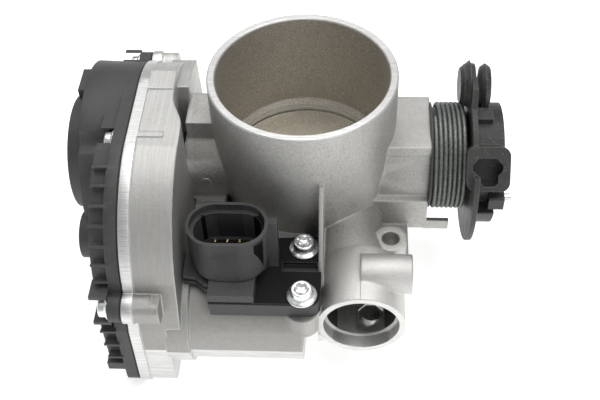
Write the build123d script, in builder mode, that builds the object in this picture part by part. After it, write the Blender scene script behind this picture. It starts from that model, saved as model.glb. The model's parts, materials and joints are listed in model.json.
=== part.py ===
"""Cable-operated throttle body with a motor-driven idle actuator.

Frame: origin at the centre of the throttle bore on the manifold flange face, +Z up the bore towards
the air inlet, +X along the throttle shaft towards the cable quadrant, -Y towards the port and motor.
"""
from build123d import *
from math import cos, sin, radians, degrees, atan2, hypot
import os

os.makedirs("parts", exist_ok=True)

# ---------------------------------------------------------------- driving dimensions (mm)
RIM_Z = 68.0            # inlet rim above the manifold flange face
INLET_OR = 34.0         # inlet spigot outside radius
INLET_R = 31.0          # inlet spigot inside radius
SPIGOT_Z = 54.3         # the parallel hose spigot starts here
BORE_R = 28.0           # throttle bore radius
LEDGE_Z = 28.6          # ledge between the inlet bore and the throttle bore
FOOT_R = 29.8           # outside radius of the tapered tube at the flange

FLANGE_HALF = 39.5      # half side of the square manifold flange
FLANGE_T = 8.0
BOLT_HALF = 32.5        # flange bolts stand at +-BOLT_HALF in X and Y
BOLT_R = 3.3            # clearance for M6
BOLT_BOSS_R = 6.0
BOLT_BOSS_Z = 17.0

SHAFT_Z = 28.0          # throttle shaft axis above the flange face
SHAFT_R = 4.5
REST_TILT = 3.5         # throttle plate angle at rest, rear edge down
PLATE_R = 27.6
PLATE_T = 2.0
SHAFT_FLAT = 1.6        # flat for the plate, below the shaft axis

CASE_X = -59.0          # gear case rim (cover joint) plane
CASE_FLOOR_X = -49.0    # inside floor of the gear case
CASE_LOW_X = -46.0      # outside back of the shallow lower part
CASE_BACK_X = -41.0     # outside back of the deep upper part
CASE_TOP = 34.0         # case wall radius around the shaft
CASE_WALL = 3.0
LIP_T = 3.7             # machined lip at the rim
LIP_OUT = 0.7

MOTOR_Y, MOTOR_Z = -53.5, 1.0
MOTOR_HOUSE_R = 18.0
MOTOR_R = 14.6
MOTOR_END_X = 1.5

MODULE = 1.0
PINION_T, WHEEL_T, SMALL_T, SECTOR_T = 12, 40, 14, 57
GEAR_CLEAR = 0.15       # extra centre distance of each gear pair

PORT_X, PORT_Z = 22.0, 9.0
PORT_OR, PORT_COUNTER_R, PORT_R = 15.5, 13.4, 12.4
PORT_Y = -66.0

PLUG_Y, PLUG_Z, PLUG_BOSS_R = -52.0, 21.0, 7.0
PLUG_X0, PLUG_X1 = 21.5, 39.4

BLOCK_X = 46.5          # outer face of the lever-side shaft block
BLOCK_HALF = 13.6
BLOCK_TOP = 45.0

SHAFT_X0, SHAFT_X1 = -78.5, 72.0
PLATE_SCREW_X = 12.0

SPRING_R, WIRE_R = 19.3, 0.84
SPRING_X0, SPRING_X1 = 48.1, 59.7
SPRING_PITCH = 1.71

QUAD_X0 = 59.6          # inner end of the cable quadrant's hub
QUAD_FLANGE_X = 60.8    # inner face of its flange
QUAD_R = 32.2
EAR_ANGLE = 62.0        # guide ears, from +Y towards +Z
GROOVE_R = 23.5
CUP_R, CUP_X1 = 20.0, 72.6
NIPPLE_X, NIPPLE_ANGLE = 66.1, 141.0
EAR_R = 8.6             # guide ears are buttons of this radius
BUSH_FLANGE_T = 0.7
PIN_ANGLE = 183.0

PLATE_TOP_Z = 23.2      # top of the connector bracket plate
PLATE_LOW_Z = 19.1      # underside of the bracket plate
BAR_LOW_Z = 16.0        # underside of the front bar
BAR_BACK_Y = -63.9
BAR_FRONT_Y = -67.5
BAR_TOP_Z = 22.3
SCREW1 = (1.3, -43.0)
SCREW2 = (1.4, -63.8)
CONN_X, CONN_Y = -24.6, -47.0
CONN_W, CONN_D = 28.4, 19.6
CONN_RIM_Z = 41.0
TERMINAL_Z0 = 22.0

COVER_SCREWS = [(-24.0, 56.6), (-70.0, 23.0), (-67.0, -16.6), (26.5, 48.5), (23.5, 4.0), (-34.0, -16.2)]
COVER_LUG_R = 5.0
COVER_LUG_DEPTH = 9.5   # screw lugs run this far back from the rim

# ---------------------------------------------------------------- derived places
SHAFT = (0.0, SHAFT_Z)
PINION_R = PINION_T * MODULE / 2
WHEEL_R = WHEEL_T * MODULE / 2
SMALL_R = SMALL_T * MODULE / 2
SECTOR_R = SECTOR_T * MODULE / 2


def third_point(a, b, ra, rb):
    """Point at distance ra from a and rb from b, on the upper side of the line from a to b."""
    d = hypot(b[0] - a[0], b[1] - a[1])
    along = (ra * ra - rb * rb + d * d) / (2 * d)
    up = (ra * ra - along * along) ** 0.5
    ux, uy = (b[0] - a[0]) / d, (b[1] - a[1]) / d
    return a[0] + ux * along + uy * up, a[1] + uy * along - ux * up


MOTOR = (MOTOR_Y, MOTOR_Z)
IDLER = third_point(SHAFT, MOTOR, SECTOR_R + SMALL_R + GEAR_CLEAR, WHEEL_R + PINION_R + GEAR_CLEAR)


def angle_to(a, b):
    return degrees(atan2(b[1] - a[1], b[0] - a[0]))


def yz(x):
    """Sketch plane across the shaft: sketch x is Y, sketch y is Z, and it extrudes towards +X."""
    return Plane.YZ.offset(x)


# ---------------------------------------------------------------- shared profiles
def case_line():
    """Gear case outline in a YZ sketch: round the shaft, flat on top, round to the front wall."""
    top = SHAFT_Z + CASE_TOP
    with BuildLine() as line:
        Line((0, top), (-31, top))
        ThreePointArc((-31, top), (-54.2, 52.3), (-66.4, 31))
        Line((-66.4, 31), (-71.6, 11))
        Line((-71.6, 11), (-72.6, -15.5))
        ThreePointArc((-72.6, -15.5), (-70.9, -20.4), (-66.2, -22.4))
        Line((-66.2, -22.4), (-40, -22.4))
        Line((-40, -22.4), (0, SHAFT_Z - CASE_TOP))
        ThreePointArc((0, SHAFT_Z - CASE_TOP), (CASE_TOP, SHAFT_Z), (0, top))
    return line


def case_face(grow=0.0, lugs=True):
    """Sketch face of the case outline grown by an amount, with the cover screw lugs."""
    with BuildSketch(mode=Mode.PRIVATE) as face:
        with BuildLine():
            add(case_line().line)
        make_face()
        if grow:
            offset(amount=grow, kind=Kind.ARC, mode=Mode.REPLACE)
        if lugs:
            with Locations(*COVER_SCREWS):
                Circle(COVER_LUG_R + grow)
    return face.sketch


def gear_face(teeth, centre, toward, gap=False, sweep=None):
    """Spur gear outline with a tooth, or a gap, at the angle toward; sweep keeps only a sector."""
    pitch_r = teeth * MODULE / 2
    tip_r, root_r = pitch_r + 0.82 * MODULE, pitch_r - 1.15 * MODULE
    step = 360 / teeth
    start = toward + (step / 2 if gap else 0)
    tip_half = degrees(0.33 * MODULE / tip_r)
    root_half = degrees(0.92 * MODULE / root_r)
    points = []
    for i in range(teeth):
        mid = start + i * step
        corners = ((root_r, -root_half), (tip_r, -tip_half), (tip_r, tip_half), (root_r, root_half))
        for radius, turn in corners:
            a = radians(mid + turn)
            points.append((centre[0] + radius * cos(a), centre[1] + radius * sin(a)))
    with BuildSketch(mode=Mode.PRIVATE) as face:
        with BuildLine():
            Polyline(*points, close=True)
        make_face()
        if sweep:
            reach = tip_r + 3
            with BuildLine(mode=Mode.PRIVATE) as wedge:
                ends = [radians(toward + s * sweep) for s in (-1, 1)]
                far = [(centre[0] + 2 * reach * cos(a), centre[1] + 2 * reach * sin(a)) for a in ends]
                Polyline(centre, far[0], far[1], close=True)
            with BuildSketch(mode=Mode.PRIVATE) as keep:
                add(make_face(wedge.edges(), mode=Mode.PRIVATE))
            add(keep.sketch, mode=Mode.INTERSECT)
    return face.sketch


def finish(part, name):
    part.part.label = name
    export_step(part.part, f"parts/{name}.step")


# ---------------------------------------------------------------- body casting
with BuildPart() as body_casting:
    # tube: inlet spigot above, tapered towards the flange
    with BuildSketch(Plane.XZ):
        with BuildLine():
            Polyline((0, 0), (FOOT_R, 0), (FOOT_R, 3), (INLET_OR - 0.15, 47), (INLET_OR, SPIGOT_Z),
                     (INLET_OR, RIM_Z - 0.5), (INLET_OR - 0.5, RIM_Z), (0, RIM_Z), close=True)
        make_face()
    revolve(axis=Axis.Z)
    # manifold flange with bolt bosses
    with BuildSketch():
        RectangleRounded(2 * FLANGE_HALF, 2 * FLANGE_HALF, 7)
    extrude(amount=FLANGE_T)
    with BuildSketch():
        with GridLocations(2 * BOLT_HALF, 2 * BOLT_HALF, 2, 2):
            Circle(BOLT_BOSS_R)
    extrude(amount=BOLT_BOSS_Z)
    # gear case, deep at the top and shallow below
    with BuildSketch(yz(CASE_X)):
        add(case_face(lugs=False))
    extrude(amount=CASE_LOW_X - CASE_X)
    with BuildSketch(yz(CASE_X)):
        with Locations(*COVER_SCREWS):
            Circle(COVER_LUG_R)
    extrude(amount=COVER_LUG_DEPTH)
    with BuildSketch(yz(CASE_X)):
        with Locations((-70.2, 23.0)):
            RectangleRounded(9.4, 8.8, 3)
    extrude(amount=12.6)
    # machined step and cast bar on top of the case
    with BuildSketch(Plane.XY.offset(SHAFT_Z + CASE_TOP - 1)):
        with Locations((-50.8, 2.5)):
            Rectangle(9.4, 10)
        with Locations((-51.0, -25.6)):
            Rectangle(9.0, 2.6)
    extrude(amount=1.6)
    with BuildSketch(yz(CASE_X)):
        add(case_face(LIP_OUT))
    extrude(amount=LIP_T)
    with BuildSketch(yz(CASE_LOW_X)):
        add(case_face(0, lugs=False))
        with Locations((-20, 12)):
            Rectangle(140, 100, align=(Align.CENTER, Align.MAX), mode=Mode.SUBTRACT)
        with Locations((0, 40)):
            Rectangle(100, 100, align=(Align.MIN, Align.CENTER), mode=Mode.SUBTRACT)
    extrude(amount=CASE_BACK_X - CASE_LOW_X)
    with BuildSketch(Plane.XY.offset(10)):
        with BuildLine():
            Spline((CASE_LOW_X, 0.5), (CASE_LOW_X + 0.5, -8), (CASE_BACK_X - 1, -17), (CASE_BACK_X, -27),
                   tangents=((0, -1), (0.05, -1)))
            Polyline((CASE_BACK_X, -27), (CASE_BACK_X + 2, -27), (CASE_BACK_X + 2, 0.5), (CASE_LOW_X, 0.5))
        make_face()
    extrude(amount=60, mode=Mode.SUBTRACT)
    # bearing boss on the case side, with a pad on top
    with BuildSketch(yz(CASE_BACK_X - 2)):
        with Locations(SHAFT):
            Circle(17)
    extrude(amount=16)
    with BuildSketch(Plane.XY.offset(34)):
        with Locations((-36, 0)):
            Rectangle(13, 16)
    extrude(amount=17)
    # foot under the bearing boss, with a small step in front
    with BuildSketch(Plane.XY):
        with Locations((-36, -3)):
            Rectangle(13, 27)
    extrude(amount=20)
    with BuildSketch(Plane.XY.offset(6)):
        with Locations((-35.5, -18)):
            Rectangle(11, 5)
    extrude(amount=13)
    # rib block behind the pad
    with BuildSketch(yz(-51)):
        with BuildLine():
            Polyline((3, 30), (3, 58.5), (14, 56.5), (24, 53.5), (27, 30), close=True)
        make_face()
    extrude(amount=9.2)
    # shaft block on the lever side, with its ledge and the spring tab
    with BuildSketch(yz(20)):
        with BuildLine():
            Polyline((BLOCK_HALF, 6), (BLOCK_HALF, BLOCK_TOP), (-BLOCK_HALF, BLOCK_TOP),
                     (-BLOCK_HALF, 40.5), (-BLOCK_HALF + 0.6, 40.5), (-15.2, 21.5), (-17.8, 21),
                     (-17.8, 6), close=True)
        make_face()
    extrude(amount=BLOCK_X - 20)
    with BuildSketch(yz(BLOCK_X - 1)):
        with Locations((-17.0, 7.9)):
            Rectangle(1.6, 4.4)
    extrude(amount=9.4)
    # motor housing with a collar where it joins the case
    with BuildSketch(yz(CASE_LOW_X - 1)):
        with Locations(MOTOR):
            Circle(MOTOR_HOUSE_R)
    extrude(amount=MOTOR_END_X - CASE_LOW_X + 1)
    with BuildSketch(yz(CASE_LOW_X - 1)):
        with Locations(MOTOR):
            Circle(MOTOR_HOUSE_R + 1.4)
    extrude(amount=8.5)
    # bridge between motor housing, tube and flange
    with BuildSketch(yz(-38)):
        with BuildLine():
            Polyline((-24, 2), (-24, 17), (-45, 17), (-50, 10), (-50, 2), close=True)
        make_face()
    extrude(amount=39)
    # bracket screw posts
    with BuildSketch(Plane.XY.offset(7)):
        with Locations(SCREW1, SCREW2):
            Circle(6.3)
    extrude(amount=PLATE_LOW_Z - 7)
    with BuildSketch(Plane.XY.offset(BAR_LOW_Z)):
        with Locations((SCREW2[0], BAR_BACK_Y)):
            Rectangle(16, 12, align=(Align.CENTER, Align.MAX))
    extrude(amount=6, mode=Mode.SUBTRACT)
    # port tube
    with BuildSketch(Plane.XZ.offset(-PORT_Y)):
        with Locations((PORT_X, PORT_Z)):
            Circle(PORT_OR)
    extrude(amount=-24)
    # its root runs back into the throttle tube, narrowing past the flange bolt
    for section_y, centre_x, radius in ((-46.0, PORT_X, PORT_OR - 0.3), (-36.0, PORT_X - 3.6, 13.2),
                                        (-18.0, PORT_X - 6.4, 14.2)):
        with BuildSketch(Plane.XZ.offset(-section_y)):
            with Locations((centre_x, PORT_Z)):
                Circle(radius)
    loft()
    with BuildSketch(Plane.XY.offset(2)):
        with Locations((PORT_X - 4, -34)):
            Rectangle(22, 24)
    extrude(amount=10)
    # passage boss along +X with a plugged end
    with BuildSketch(yz(PLUG_X0)):
        with Locations((PLUG_Y, PLUG_Z)):
            Circle(PLUG_BOSS_R)
    extrude(amount=PLUG_X1 - PLUG_X0)
    # thin stiffening web in front of the tube
    with BuildSketch(yz(6.7)):
        with BuildLine():
            Polyline((-30, 0), (-30, 46), (-34.6, 46), (-64, 2), (-64, -4), (-50, -4), close=True)
        make_face()
    extrude(amount=1.5)

    # ---- hollows
    with BuildSketch(Plane.XY.offset(-30)):
        Circle(BORE_R)
    extrude(amount=30 + LEDGE_Z + 1, mode=Mode.SUBTRACT)
    with BuildSketch(Plane.XZ):
        with BuildLine():
            Polyline((0, LEDGE_Z - 1.2), (BORE_R, LEDGE_Z - 1.2), (INLET_R - 0.6, LEDGE_Z + 0.5),
                     (INLET_R, RIM_Z - 0.4), (INLET_R + 0.5, RIM_Z + 0.1), (0, RIM_Z + 0.1), close=True)
        make_face()
    revolve(axis=Axis.Z, mode=Mode.SUBTRACT)
    with BuildSketch(yz(CASE_X)):
        add(case_face(-CASE_WALL, lugs=False))
        with Locations(*COVER_SCREWS):
            Circle(COVER_LUG_R - 0.6, mode=Mode.SUBTRACT)
    extrude(amount=CASE_FLOOR_X - CASE_X, mode=Mode.SUBTRACT)
    # motor chamber, open to the gear case
    with BuildSketch(yz(CASE_FLOOR_X - 0.5)):
        with Locations(MOTOR):
            Circle(MOTOR_R + 0.4)
    extrude(amount=MOTOR_END_X - 3 - CASE_FLOOR_X + 0.5, mode=Mode.SUBTRACT)
    # shaft bore and bearing seats
    with BuildSketch(yz(CASE_FLOOR_X - 1)):
        with Locations(SHAFT):
            Circle(SHAFT_R + 0.5)
    extrude(amount=BLOCK_X - CASE_FLOOR_X + 2, mode=Mode.SUBTRACT)
    with BuildSketch(yz(CASE_FLOOR_X - 1)):
        with Locations(SHAFT):
            Circle(8.0)
    extrude(amount=13, mode=Mode.SUBTRACT)
    with BuildSketch(yz(BLOCK_X - 12)):
        with Locations(SHAFT):
            Circle(8.0)
    extrude(amount=13, mode=Mode.SUBTRACT)
    # port counterbore, port bore and its duct into the throttle bore
    with BuildSketch(Plane.XZ.offset(-PORT_Y + 1)):
        with Locations((PORT_X, PORT_Z)):
            Circle(PORT_COUNTER_R)
    extrude(amount=-6, mode=Mode.SUBTRACT)
    with BuildSketch(Plane.XZ.offset(-PORT_Y)):
        with Locations((PORT_X, PORT_Z)):
            Circle(PORT_R)
    extrude(amount=-22.5, mode=Mode.SUBTRACT)
    with BuildSketch(Plane.XZ.offset(-PORT_Y)):
        with Locations((PORT_X - 6, PORT_Z)):
            Circle(4)
    extrude(amount=-52, mode=Mode.SUBTRACT)
    with BuildSketch(Plane.XY.offset(-10)):
        with Locations((PORT_X + 3.6, PLUG_Y)):
            RegularPolygon(4.8, 8, rotation=22.5)
    extrude(amount=16, mode=Mode.SUBTRACT)
    # plug seat and the passage behind it, down into the port
    with BuildSketch(yz(PLUG_X1 - 3.4)):
        with Locations((PLUG_Y, PLUG_Z)):
            Circle(4.8)
    extrude(amount=4, mode=Mode.SUBTRACT)
    with BuildSketch(yz(PORT_X + 6)):
        with Locations((PLUG_Y, PLUG_Z)):
            Circle(2.6)
    extrude(amount=PLUG_X1 - PORT_X - 6, mode=Mode.SUBTRACT)
    with BuildSketch(Plane.XY.offset(PORT_Z)):
        with Locations((PORT_X + 8, PLUG_Y)):
            Circle(2.4)
    extrude(amount=PLUG_Z - PORT_Z, mode=Mode.SUBTRACT)
    # flange bolt holes
    with BuildSketch(Plane.XY.offset(-1)):
        with GridLocations(2 * BOLT_HALF, 2 * BOLT_HALF, 2, 2):
            Circle(BOLT_R)
    extrude(amount=40, mode=Mode.SUBTRACT)
    # bracket screw threads and cover screw threads
    with BuildSketch(Plane.XY.offset(8)):
        with Locations(SCREW1, SCREW2):
            Circle(2.5)
    extrude(amount=12, mode=Mode.SUBTRACT)
    with BuildSketch(yz(CASE_X - 1)):
        with Locations(*COVER_SCREWS):
            Circle(2.0)
    extrude(amount=10.5, mode=Mode.SUBTRACT)
finish(body_casting, "body_casting")

# ---------------------------------------------------------------- throttle shaft and plate
rest_up = (0, sin(radians(REST_TILT)), cos(radians(REST_TILT)))
plate_plane = Plane(origin=(0, 0, SHAFT_Z), x_dir=(1, 0, 0), z_dir=rest_up)

with BuildPart() as throttle_shaft:
    with BuildSketch(yz(SHAFT_X0)):
        with Locations(SHAFT):
            Circle(SHAFT_R)
    extrude(amount=SHAFT_X1 - SHAFT_X0)
    # journals step down for the wiper hub and the quadrant
    with BuildSketch(yz(SHAFT_X0 - 5)):
        with Locations(SHAFT):
            Circle(SHAFT_R + 2)
            Circle(2.5, mode=Mode.SUBTRACT)
    extrude(amount=9, mode=Mode.SUBTRACT)
    with BuildSketch(yz(QUAD_X0)):
        with Locations(SHAFT):
            Circle(SHAFT_R + 2)
            Circle(3.0, mode=Mode.SUBTRACT)
    extrude(amount=20, mode=Mode.SUBTRACT)
    # flat for the plate across the bore
    with BuildSketch(plate_plane.offset(-SHAFT_FLAT)):
        Rectangle(2 * PLATE_R + 0.4, 3 * SHAFT_R)
    extrude(amount=-SHAFT_R, mode=Mode.SUBTRACT)
    with BuildSketch(plate_plane.offset(-SHAFT_R)):
        with Locations((-PLATE_SCREW_X, 0), (PLATE_SCREW_X, 0)):
            Circle(2.0)
    extrude(amount=2 * SHAFT_R, mode=Mode.SUBTRACT)
finish(throttle_shaft, "throttle_shaft")

with BuildPart() as throttle_plate:
    with BuildSketch(plate_plane.offset(-SHAFT_FLAT)):
        Circle(PLATE_R)
        with Locations((-PLATE_SCREW_X, 0), (PLATE_SCREW_X, 0)):
            Circle(2.0, mode=Mode.SUBTRACT)
    extrude(amount=-PLATE_T)
finish(throttle_plate, "throttle_plate")

with BuildPart() as plate_screws:
    with BuildSketch(plate_plane.offset(-SHAFT_FLAT - PLATE_T)):
        with Locations((-PLATE_SCREW_X, 0), (PLATE_SCREW_X, 0)):
            Circle(3.6)
    extrude(amount=-2.2)
    with BuildSketch(plate_plane.offset(-SHAFT_FLAT - PLATE_T - 0.5)):
        with Locations((-PLATE_SCREW_X, 0), (PLATE_SCREW_X, 0)):
            Circle(1.95)
    extrude(amount=8.4)
    with BuildSketch(plate_plane.offset(-SHAFT_FLAT - PLATE_T - 2.2)):
        with Locations((-PLATE_SCREW_X, 0), (PLATE_SCREW_X, 0)):
            RegularPolygon(1.8, 6)
    extrude(amount=1.4, mode=Mode.SUBTRACT)
finish(plate_screws, "plate_screws")

# ---------------------------------------------------------------- bearings and seals
def ring(x0, length, outer, inner, centre=SHAFT):
    """Plain ring on an axis parallel to the shaft, inside a part block."""
    with BuildSketch(yz(x0), mode=Mode.PRIVATE) as face:
        with Locations(centre):
            Circle(outer)
            Circle(inner, mode=Mode.SUBTRACT)
    extrude(face.sketch, amount=length)


with BuildPart() as case_bearing:
    ring(CASE_FLOOR_X + 4, 8, 8.0, SHAFT_R + 0.03)
finish(case_bearing, "case_bearing")

with BuildPart() as lever_bearing:
    ring(BLOCK_X - 12, 8, 8.0, SHAFT_R + 0.03)
finish(lever_bearing, "lever_bearing")

with BuildPart() as shaft_seals:
    ring(CASE_FLOOR_X + 0.5, 3.3, 8.0, SHAFT_R + 0.1)
    ring(BLOCK_X - 3.8, 3.3, 8.0, SHAFT_R + 0.1)
finish(shaft_seals, "shaft_seals")

# ---------------------------------------------------------------- return spring and its bush
with BuildPart() as spring_bush:
    ring(BLOCK_X, BUSH_FLANGE_T, SPRING_R + 0.6, SHAFT_R + 0.6)
    ring(BLOCK_X, SPRING_X1 - BLOCK_X - 0.5, SPRING_R - WIRE_R - 0.5, SPRING_R - WIRE_R - 2.3)
    ring(BLOCK_X, SPRING_X1 - BLOCK_X - 2, SHAFT_R + 2.4, SHAFT_R + 0.6)
finish(spring_bush, "spring_bush")

with BuildPart() as return_spring:
    with BuildLine():
        coil = Helix(pitch=SPRING_PITCH, height=SPRING_X1 - SPRING_X0, radius=SPRING_R,
                     center=(SPRING_X0, 0, SHAFT_Z), direction=(1, 0, 0))
    with BuildSketch(Plane(origin=coil @ 0, z_dir=coil % 0)):
        Circle(WIRE_R)
    sweep(is_frenet=True)
finish(return_spring, "return_spring")

# ---------------------------------------------------------------- cable quadrant
def polar(radius, degree, centre=SHAFT):
    a = radians(degree)
    return centre[0] + radius * cos(a), centre[1] + radius * sin(a)


nipple_dir = (0, cos(radians(NIPPLE_ANGLE)), sin(radians(NIPPLE_ANGLE)))
nipple_y, nipple_z = polar(27.2, NIPPLE_ANGLE)
nipple_plane = Plane(origin=(NIPPLE_X, nipple_y, nipple_z), x_dir=(1, 0, 0), z_dir=nipple_dir)

with BuildPart() as cable_quadrant:
    # inner flange with its cable guide ear
    with BuildSketch(yz(QUAD_FLANGE_X)):
        with Locations(SHAFT):
            Circle(QUAD_R)
        with BuildLine():
            Polyline(polar(QUAD_R + 9, 84), polar(20, 100), polar(20, 150), polar(QUAD_R + 9, 150),
                     polar(QUAD_R + 22, 120), close=True)
        make_face(mode=Mode.SUBTRACT)
        with Locations(SHAFT):
            Circle(GROOVE_R + 1.5)
    extrude(amount=1.8)
    for side, draft in ((1.8, 12), (-2.2, 14), (-3.6, 38)):
        with BuildSketch(yz(QUAD_FLANGE_X - 0.2)):
            with Locations(polar(QUAD_R - 5.4, EAR_ANGLE)):
                Circle(EAR_R if draft < 30 else EAR_R + 0.9)
        extrude(amount=side, taper=draft)
    # clearance for the spring's coils, and the hub end inside it
    with BuildSketch(yz(QUAD_X0 - 4)):
        with Locations(SHAFT):
            Circle(SPRING_R + WIRE_R + 0.9)
    extrude(amount=QUAD_FLANGE_X - QUAD_X0 + 4, mode=Mode.SUBTRACT)
    with BuildSketch(yz(QUAD_X0)):
        with Locations(SHAFT):
            Circle(9)
    extrude(amount=3)
    # cable drum
    with BuildSketch(yz(QUAD_X0 + 2)):
        with Locations(SHAFT):
            Circle(GROOVE_R - 3.5)
    extrude(amount=7)
    # outer guide ear
    for side in (1.8, -1.8):
        with BuildSketch(yz(QUAD_X0 + 6.6)):
            with Locations(polar(QUAD_R - 5.6, EAR_ANGLE)):
                Circle(EAR_R)
        extrude(amount=side, taper=35)
    with BuildSketch(yz(QUAD_X0 + 5.4)):
        with BuildLine():
            Polyline(polar(15, 40), polar(24, 46), polar(24, 78), polar(15, 84), close=True)
        make_face()
    extrude(amount=2.6)
    # hub cup
    with BuildSketch(yz(QUAD_X0 + 8)):
        with Locations(SHAFT):
            Circle(CUP_R)
    extrude(amount=CUP_X1 - QUAD_X0 - 8)
    with BuildSketch(yz(CUP_X1 - 5)):
        with Locations(SHAFT):
            Circle(CUP_R - 2.2)
            Circle(7.0, mode=Mode.SUBTRACT)
    extrude(amount=6, mode=Mode.SUBTRACT)
    with BuildSketch(yz(CUP_X1 - 4)):
        with Locations(SHAFT):
            Circle(8.0)
    extrude(amount=5, mode=Mode.SUBTRACT)
    # slotted tie block over the drum
    with BuildSketch(yz(QUAD_X0 + 1.4)):
        with Locations((-0.9, SHAFT_Z + 18.4)):
            Rectangle(6, 8)
        with Locations((-3.0, SHAFT_Z + 16.6)):
            Rectangle(3, 1.3, mode=Mode.SUBTRACT)
    extrude(amount=7.6)
    # lower bearing segment beside the drum
    with BuildSketch(yz(QUAD_X0 + 2)):
        with Locations(SHAFT):
            Circle(25.2)
            Circle(16, mode=Mode.SUBTRACT)
        with BuildLine():
            Polyline(SHAFT, polar(60, 262), polar(60, 330), polar(60, 20), polar(60, 100), polar(60, 192),
                     close=True)
        make_face(mode=Mode.SUBTRACT)
    extrude(amount=8.4)
    # socket block for the cable nipple: a keyhole with an eight-sided mouth
    with BuildSketch(nipple_plane):
        with Locations((0, -2)):
            RectangleRounded(15.2, 16, 3.4)
    extrude(amount=-5.4)
    with BuildSketch(nipple_plane.offset(-5)):
        with Locations((1.2, -2)):
            RectangleRounded(12.4, 16, 3)
    extrude(amount=-4.5)
    with BuildSketch(nipple_plane):
        with BuildLine():
            Polyline((-5.7, -2.5), (-5.7, -0.5), (-3.4, 1.9), (2.6, 1.9), (5.0, -0.5), (5.0, -2.5),
                     (2.8, -5), (-3.0, -5), close=True)
        make_face()
        with Locations((0.3, -5.2)):
            RectangleRounded(6.2, 6, 1.8)
    extrude(amount=-6.5, mode=Mode.SUBTRACT)
    # clip block on the front of the hub cup
    with BuildSketch(yz(QUAD_X0 + 8)):
        with Locations(polar(20.6, PIN_ANGLE)):
            RectangleRounded(7.4, 6.4, 1.2)
    extrude(amount=5.6)
    # shaft hole and pin hole
    with BuildSketch(yz(QUAD_X0 - 1)):
        with Locations(SHAFT):
            Circle(3.0)
    extrude(amount=30, mode=Mode.SUBTRACT)
    with BuildSketch(yz(QUAD_X0 + 9)):
        with Locations(polar(20.6, PIN_ANGLE)):
            Circle(1.72)
    extrude(amount=8, mode=Mode.SUBTRACT)
finish(cable_quadrant, "cable_quadrant")

with BuildPart() as quadrant_pin:
    with BuildSketch(yz(QUAD_X0 + 9)):
        with Locations(polar(20.6, PIN_ANGLE)):
            Circle(1.7)
    extrude(amount=7.4)
finish(quadrant_pin, "quadrant_pin")

with BuildPart() as quadrant_washer:
    ring(CUP_X1 - 4, 0.8, 7.2, 3.0)
finish(quadrant_washer, "quadrant_washer")

with BuildPart() as quadrant_nut:
    with BuildSketch(yz(CUP_X1 - 3.2)):
        with Locations(SHAFT):
            RegularPolygon(5.4, 6)
            Circle(3.0, mode=Mode.SUBTRACT)
    extrude(amount=2.8)
finish(quadrant_nut, "quadrant_nut")

# ---------------------------------------------------------------- gear train
GEAR_LOW_X, GEAR_HIGH_X = -54.4, -60.6
HUB_X = -64.0
sector_dir = angle_to(SHAFT, IDLER)

with BuildPart() as idle_sector:
    with BuildSketch(yz(GEAR_LOW_X)):
        add(gear_face(SECTOR_T, SHAFT, sector_dir, sweep=26))
        with Locations(SHAFT):
            Circle(9)
    extrude(amount=3.6)
    with BuildSketch(yz(HUB_X)):
        with Locations(SHAFT):
            Circle(7)
    extrude(amount=GEAR_LOW_X + 0.2 - HUB_X)
    with BuildSketch(yz(HUB_X - 1)):
        with Locations(SHAFT):
            Circle(SHAFT_R + 0.05)
    extrude(amount=20, mode=Mode.SUBTRACT)
finish(idle_sector, "idle_sector")

with BuildPart() as sector_circlip:
    ring(HUB_X - 1.1, 1.0, 7.2, SHAFT_R)
finish(sector_circlip, "sector_circlip")

with BuildPart() as limp_home_spring:
    with BuildLine():
        home_coil = Helix(pitch=1.3, height=5.2, radius=8.4, center=(HUB_X + 1.2, 0, SHAFT_Z),
                          direction=(1, 0, 0))
    with BuildSketch(Plane(origin=home_coil @ 0, z_dir=home_coil % 0)):
        Circle(0.5)
    sweep(is_frenet=True)
finish(limp_home_spring, "limp_home_spring")

with BuildPart() as intermediate_gear:
    with BuildSketch(yz(GEAR_HIGH_X)):
        add(gear_face(WHEEL_T, IDLER, angle_to(IDLER, MOTOR), gap=True))
    extrude(amount=4.6)
    with BuildSketch(yz(GEAR_HIGH_X + 1.6)):
        with Locations(IDLER):
            Circle(WHEEL_R - 3.4)
            Circle(SMALL_R + 1.5, mode=Mode.SUBTRACT)
    extrude(amount=4, mode=Mode.SUBTRACT)
    with BuildSketch(yz(GEAR_HIGH_X + 3)):
        add(gear_face(SMALL_T, IDLER, angle_to(IDLER, SHAFT), gap=True))
    extrude(amount=GEAR_LOW_X + 3.8 - GEAR_HIGH_X - 3)
    with BuildSketch(yz(GEAR_HIGH_X - 1)):
        with Locations(IDLER):
            Circle(2.55)
    extrude(amount=20, mode=Mode.SUBTRACT)
finish(intermediate_gear, "intermediate_gear")

with BuildPart() as intermediate_axle:
    with BuildSketch(yz(CASE_FLOOR_X)):
        with Locations(IDLER):
            Circle(2.5)
    extrude(amount=-26)
finish(intermediate_axle, "intermediate_axle")

with BuildPart() as motor_pinion:
    with BuildSketch(yz(GEAR_HIGH_X - 0.6)):
        add(gear_face(PINION_T, MOTOR, angle_to(MOTOR, IDLER)))
    extrude(amount=5.6)
    with BuildSketch(yz(GEAR_HIGH_X - 1)):
        with Locations(MOTOR):
            Circle(1.6)
    extrude(amount=8, mode=Mode.SUBTRACT)
finish(motor_pinion, "motor_pinion")

with BuildPart() as motor_shaft:
    with BuildSketch(yz(GEAR_HIGH_X - 0.6)):
        with Locations(MOTOR):
            Circle(1.6)
    extrude(amount=MOTOR_END_X - 5.5 - GEAR_HIGH_X)
finish(motor_shaft, "motor_shaft")

with BuildPart() as motor_rotor:
    ring(CASE_FLOOR_X + 9, 26, 9.6, 1.6, MOTOR)
finish(motor_rotor, "motor_rotor")

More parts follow.
